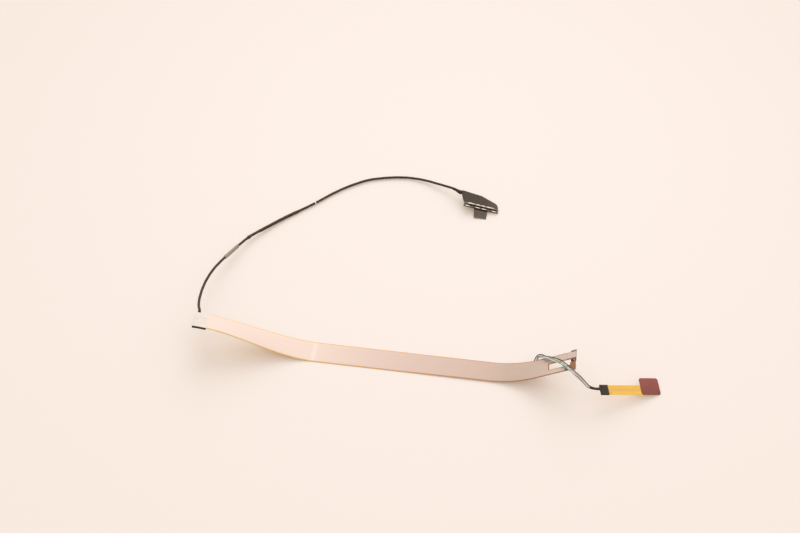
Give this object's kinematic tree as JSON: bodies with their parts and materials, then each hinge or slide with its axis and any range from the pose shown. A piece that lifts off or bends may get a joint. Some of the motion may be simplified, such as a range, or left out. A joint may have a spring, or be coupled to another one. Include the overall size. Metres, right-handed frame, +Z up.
{
  "type": "flat flex display cable",
  "caption": "Laptop display cable with a shielded flat flex ribbon, a round taped harness to a micro-coax plug, and a thin wire branch to a small sensor tail",
  "frame": {"origin": "on the surface under the middle of the ribbon's flat stretch", "axes": "+X along the ribbon from the harness end to the two tails, +Y across the ribbon towards the plug's side, +Z up off the surface"},
  "size_m": [0.2489, 0.1485, 0.0218],
  "materials": {
    "polyimide": "satin amber film",
    "shield_film": "pinkish metallised film, glossy",
    "conductive_tape": "pale conductive tape",
    "solder": "dull solder",
    "black_tape": "dark acetate tape",
    "plate_grey": "thin grey stiffener plate",
    "maroon_plastic": "dark maroon connector moulding",
    "gold_contacts": "gold plated",
    "silver_metal": "tin plated stampings",
    "bronze_film": "bronze polyimide stiffener",
    "jacket_tape": "dark cloth tape wound round the wires",
    "sleeve_cloth": "beige conductive cloth",
    "marker_white": "white band",
    "plug_plastic": "black connector moulding",
    "wire_core": "micro-coax insulation",
    "pull_film": "dark grey film",
    "hem_film": "folded film",
    "wire_black": "black insulation",
    "wire_green": "pale green insulation",
    "wire_white": "white insulation",
    "wire_grey": "grey insulation",
    "sensor_amber": "amber coverlay",
    "pad_red": "reddish brown coverlay"
  },
  "bodies": {
    "root": {"ribbon_flex": "polyimide", "ribbon_film": "shield_film", "end_tape_patch": "conductive_tape", "joint_solder": "solder", "joint_cover": "black_tape", "panel_plate": "plate_grey", "panel_housing": "maroon_plastic", "panel_contacts": "gold_contacts", "panel_nails": "silver_metal", "zif_stiffener": "bronze_film", "zif_fingers": "gold_contacts", "harness_root": "black_tape", "harness_jacket": "jacket_tape", "harness_sleeve": "sleeve_cloth", "harness_wrap": "jacket_tape", "harness_marker": "marker_white", "harness_end_wrap": "black_tape", "plug_housing": "plug_plastic", "plug_rail": "silver_metal", "plug_front_clips": "silver_metal", "plug_contacts": "gold_contacts", "plug_clamp_bar": "silver_metal", "plug_wire_fan": "wire_core", "plug_tape_top": "black_tape", "plug_tape_under": "black_tape", "pull_tab": "pull_film", "pull_tab_hem": "hem_film", "wire_anchor": "black_tape", "wire_black": "wire_black", "wire_green": "wire_green", "wire_white": "wire_white", "wire_grey": "wire_grey", "splice_sleeve": "black_tape", "splice_tape": "black_tape", "sensor_flex": "sensor_amber", "sensor_pad": "pad_red", "sensor_socket": "plug_plastic", "sensor_contacts": "gold_contacts"}
  },
  "joints": []
}
